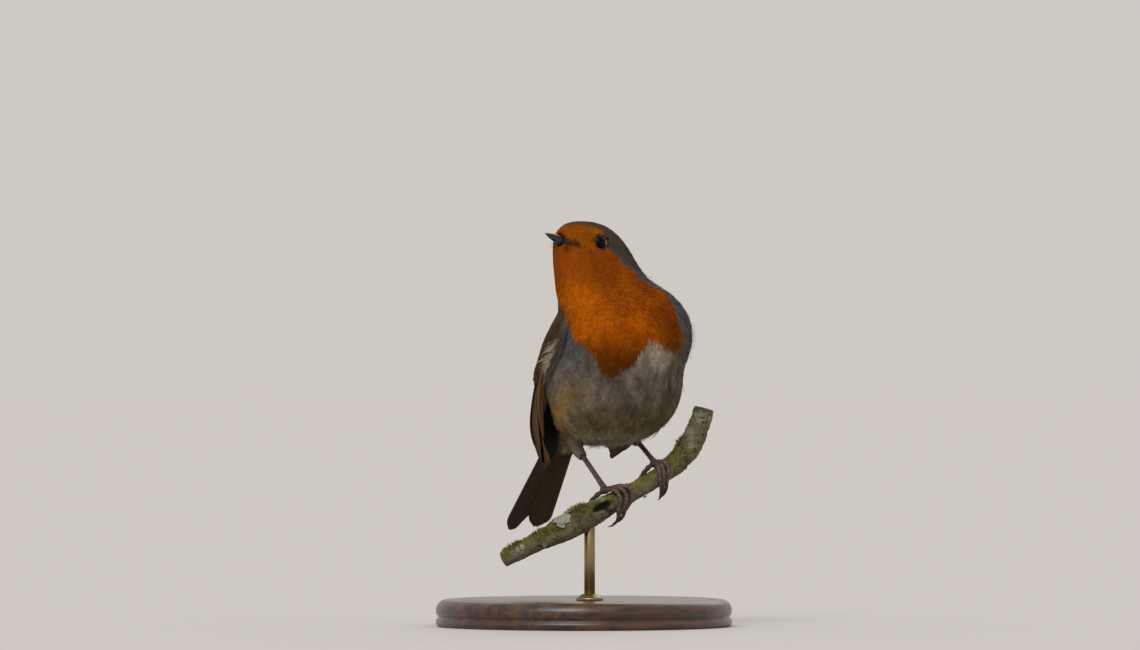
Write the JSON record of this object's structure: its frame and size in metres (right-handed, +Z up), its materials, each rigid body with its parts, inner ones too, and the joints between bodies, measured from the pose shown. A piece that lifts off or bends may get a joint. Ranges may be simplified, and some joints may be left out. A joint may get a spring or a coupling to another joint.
{
  "type": "perched songbird model",
  "caption": "Life-size robin perched upright on a cut length of twig, head turned over its shoulder, held by a short rod above a round display base.",
  "frame": {"origin": "middle of the round base on its underside, at floor level", "axes": "+Z up; the bird's breast faces -Y and its left side is +X, and its head is turned towards -X"},
  "size_m": [0.11, 0.11, 0.1503],
  "materials": {
    "rust_feathers": "soft matte plumage, rust orange, of fine loose barbs",
    "grey_feathers": "soft matte plumage, olive grey brown over a blue grey edge",
    "belly_feathers": "soft matte plumage, greyish white with buff flanks",
    "brown_feathers": "flight feathers, dull brown with paler outer edges, faint sheen along each vane",
    "horn": "smooth dark horn with a dull blue grey sheen",
    "eye": "wet near-black eye, high gloss",
    "scales": "pinkish brown scaly skin, satin",
    "claw": "dark horn, satin",
    "bark": "rough grey green bark with moss and pale lichen",
    "rod": "plain turned brass, softly brushed",
    "wood": "dark stained turned wood, satin varnish"
  },
  "bodies": {
    "root": {"stand_rod": "rod", "stand_base": "wood", "stand_collar": "rod", "perch": "bark", "tarsus_right": "scales", "foot_right": "scales", "toe_inner_right": "scales", "toe_middle_right": "scales", "toe_outer_right": "scales", "toe_hind_right": "scales", "claw_inner_right": "claw", "claw_middle_right": "claw", "claw_outer_right": "claw", "claw_hind_right": "claw", "thigh_right": "belly_feathers", "tarsus_left": "scales", "foot_left": "scales", "toe_inner_left": "scales", "toe_middle_left": "scales", "toe_outer_left": "scales", "toe_hind_left": "scales", "claw_inner_left": "claw", "claw_middle_left": "claw", "claw_outer_left": "claw", "claw_hind_left": "claw", "thigh_left": "belly_feathers", "eye_left": "eye", "eye_right": "eye", "bill_upper": "horn", "bill_lower": "horn", "tail": "brown_feathers", "head": "rust_feathers", "neck": "rust_feathers", "breast": "rust_feathers", "belly": "belly_feathers", "rump": "grey_feathers", "wing_right": "brown_feathers", "secondaries_right": "brown_feathers", "primaries_right": "brown_feathers", "wing_left": "brown_feathers", "secondaries_left": "brown_feathers", "primaries_left": "brown_feathers"}
  },
  "joints": []
}
